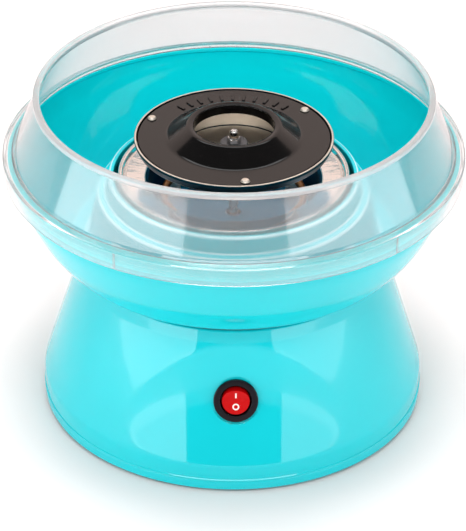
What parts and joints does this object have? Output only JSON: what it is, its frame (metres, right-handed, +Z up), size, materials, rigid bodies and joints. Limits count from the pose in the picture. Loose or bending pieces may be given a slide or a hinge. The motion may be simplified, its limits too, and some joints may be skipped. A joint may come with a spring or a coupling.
{
  "type": "cotton candy machine",
  "caption": "Table-top cotton candy machine: cone base with motor and heater, spinning head, lift-off bowl and clear guard.",
  "frame": {"origin": "centre of the machine on the surface that its feet stand on", "axes": "+Z up along the shaft, -Y to the front, where the switch is, +X to the right seen from the front"},
  "size_m": [0.25, 0.25, 0.187],
  "materials": {
    "cyan_plastic": "glossy moulded plastic, cyan",
    "clear_plastic": "clear, slightly milky moulded plastic",
    "black_enamel": "satin black enamel on pressed metal",
    "brushed_aluminium": "spun and brushed",
    "polished_steel": "polished stainless steel sheet",
    "steel": "zinc-plated steel",
    "iron": "dull grey motor steel and ferrite",
    "brass": "turned brass and copper",
    "bronze": "sintered bronze",
    "dark_plastic": "black moulded plastic",
    "red_plastic": "glossy red moulded plastic",
    "rubber": "black rubber",
    "carbon": "pressed carbon",
    "heater_sheath": "heat-tinted metal sheath",
    "ceramic": "unglazed ceramic",
    "mica": "pressed mica sheet",
    "circuit_board": "green circuit board with black parts",
    "wire_sleeve": "silicone sleeve"
  },
  "bodies": {
    "base": {"base_housing": "cyan_plastic", "bottom_cover": "cyan_plastic", "foot_1": "rubber", "foot_2": "rubber", "foot_3": "rubber", "foot_4": "rubber", "cover_screw_1": "steel", "cover_screw_2": "steel", "cover_screw_3": "steel", "rectifier_board": "circuit_board", "board_screw_1": "steel", "board_screw_2": "steel", "motor_bracket": "steel", "bracket_screw_1": "steel", "bracket_screw_2": "steel", "bracket_screw_3": "steel", "motor_can": "iron", "motor_end_cap": "dark_plastic", "upper_bearing": "bronze", "lower_bearing": "bronze", "motor_magnet_1": "iron", "motor_magnet_2": "iron", "motor_brush_1": "carbon", "motor_brush_2": "carbon", "heat_pan": "polished_steel", "mica_insulator": "mica", "pan_spacer_1": "steel", "pan_spacer_2": "steel", "pan_spacer_3": "steel", "pan_screw_1": "steel", "pan_screw_2": "steel", "pan_screw_3": "steel", "heater_post_1": "ceramic", "heater_post_2": "ceramic", "heater_post_3": "ceramic", "heater_ring": "heater_sheath", "thermal_cutout": "dark_plastic", "switch_housing": "dark_plastic", "switch_terminal_1": "brass", "switch_terminal_2": "brass", "cord_gland": "rubber", "wire_switch_to_board": "wire_sleeve", "wire_board_to_motor": "wire_sleeve", "wire_board_to_heater": "wire_sleeve"},
    "rocker": {"switch_rocker": "red_plastic"},
    "spinner": {"motor_shaft": "steel", "motor_armature": "iron", "motor_commutator": "brass", "cooling_fan": "dark_plastic", "drive_hub": "brass", "head_pan": "brushed_aluminium", "head_cover": "black_enamel", "head_rivet_1": "brushed_aluminium", "head_rivet_2": "brushed_aluminium", "head_rivet_3": "brushed_aluminium", "head_spacer": "brushed_aluminium", "clamp_washer": "steel", "cap_nut": "steel"},
    "bowl": {"bowl": "cyan_plastic"},
    "guard": {"splash_guard": "clear_plastic"}
  },
  "joints": [
    {"name": "head_spin", "type": "hinge", "parent": "base", "child": "spinner", "pos_m": [0, 0, 0.16], "axis": [0, 0, 1], "continuous": true},
    {"name": "rocker_tilt", "type": "hinge", "parent": "base", "child": "rocker", "pos_m": [0, -0.0922, 0.051], "axis": [-1, 0, 0], "range_deg": [0, 22]},
    {"name": "bowl_lift", "type": "slide", "parent": "base", "child": "bowl", "axis": [0, 0, 1], "range_m": [0, 0.1]},
    {"name": "guard_lift", "type": "slide", "parent": "bowl", "child": "guard", "axis": [0, 0, 1], "range_m": [0, 0.06]}
  ]
}
